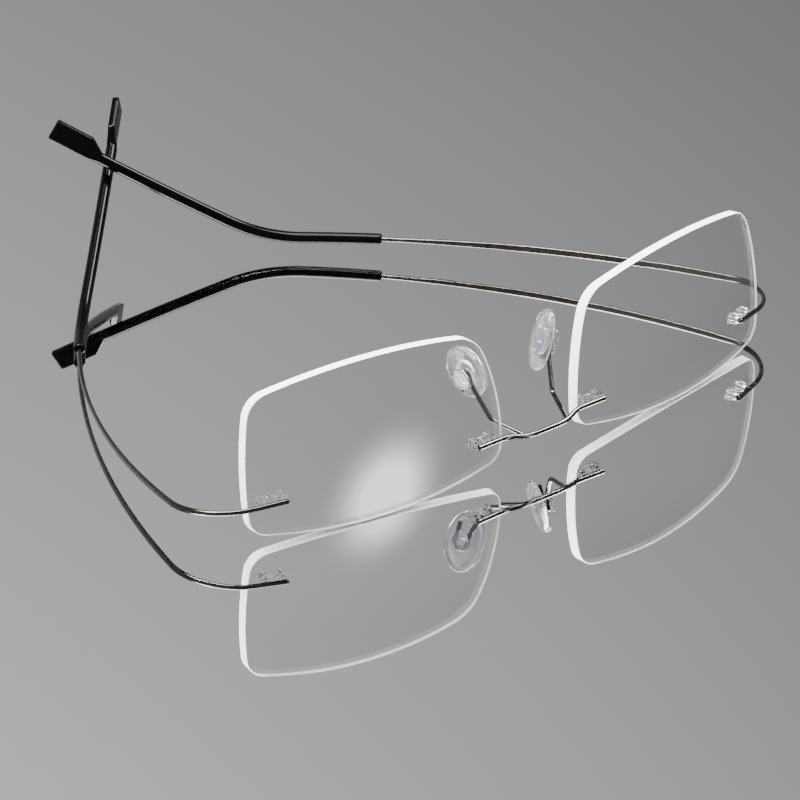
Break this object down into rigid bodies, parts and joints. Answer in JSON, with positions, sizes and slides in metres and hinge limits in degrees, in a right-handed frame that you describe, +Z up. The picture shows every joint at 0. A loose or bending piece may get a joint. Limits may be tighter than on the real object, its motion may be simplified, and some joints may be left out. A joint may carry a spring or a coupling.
{
  "type": "rimless eyeglasses",
  "caption": "Rimless, hingeless eyeglasses with clear lenses, thin sprung metal temples, rocking nose pads and dark tip sleeves, resting upside down.",
  "frame": {"origin": "on the surface the glasses rest on, below the centre of the whole object's box", "axes": "+Z up as it rests, upside down on its brow edges, so +Z runs from brow to cheek; -Y out of the lens fronts; +Y along the temples; +X to the wearer's right"},
  "size_m": [0.1396, 0.1346, 0.0304],
  "materials": {
    "lens": "clear, polished, with an anti-reflection coat",
    "clear_plug": "clear moulded plastic",
    "pin_metal": "polished",
    "bar_metal": "polished gunmetal",
    "strip_metal": "black, satin coat",
    "tip_plastic": "glossy black",
    "pad_silicone": "clear soft silicone",
    "pad_insert": "clear hard plastic"
  },
  "bodies": {
    "front": {"bridge_bar": "bar_metal", "left_lens": "lens", "left_bridge_pins": "pin_metal", "left_temple_pins": "pin_metal", "left_nasal_plug": "clear_plug", "left_temple_plug": "clear_plug", "left_pad_arm": "bar_metal", "left_endpiece": "strip_metal", "right_lens": "lens", "right_bridge_pins": "pin_metal", "right_temple_pins": "pin_metal", "right_nasal_plug": "clear_plug", "right_temple_plug": "clear_plug", "right_pad_arm": "bar_metal", "right_endpiece": "strip_metal"},
    "left_temple": {"left_temple_arm": "strip_metal", "left_tip_sleeve": "tip_plastic"},
    "left_pad": {"left_pad_core": "pad_insert", "left_pad_cushion": "pad_silicone"},
    "right_temple": {"right_temple_arm": "strip_metal", "right_tip_sleeve": "tip_plastic"},
    "right_pad": {"right_pad_core": "pad_insert", "right_pad_cushion": "pad_silicone"}
  },
  "joints": [
    {"name": "left_temple_flex", "type": "hinge", "parent": "front", "child": "left_temple", "pos_m": [-0.06776, -0.05226, 0.00694], "axis": [-0.0294, 0.0874, 0.9957], "range_deg": [0, 34], "stiffness_Nm_per_rad": 0.12},
    {"name": "right_temple_flex", "type": "hinge", "parent": "front", "child": "right_temple", "pos_m": [0.06777, -0.05225, 0.00702], "axis": [-0.0372, -0.0637, -0.9973], "range_deg": [0, 22.5], "stiffness_Nm_per_rad": 0.12},
    {"name": "left_pad_rock", "type": "hinge", "parent": "front", "child": "left_pad", "pos_m": [-0.01082, -0.05515, 0.01659], "axis": [-0.3071, 0.002, 0.9517], "range_deg": [-6, 6]},
    {"name": "right_pad_rock", "type": "hinge", "parent": "front", "child": "right_pad", "pos_m": [0.01082, -0.05515, 0.01659], "axis": [0.3071, 0.002, 0.9517], "range_deg": [-6, 6]}
  ],
  "couplings": [
    {"joint": "right_temple_flex", "follows": "left_temple_flex", "ratio": 0.65}
  ]
}
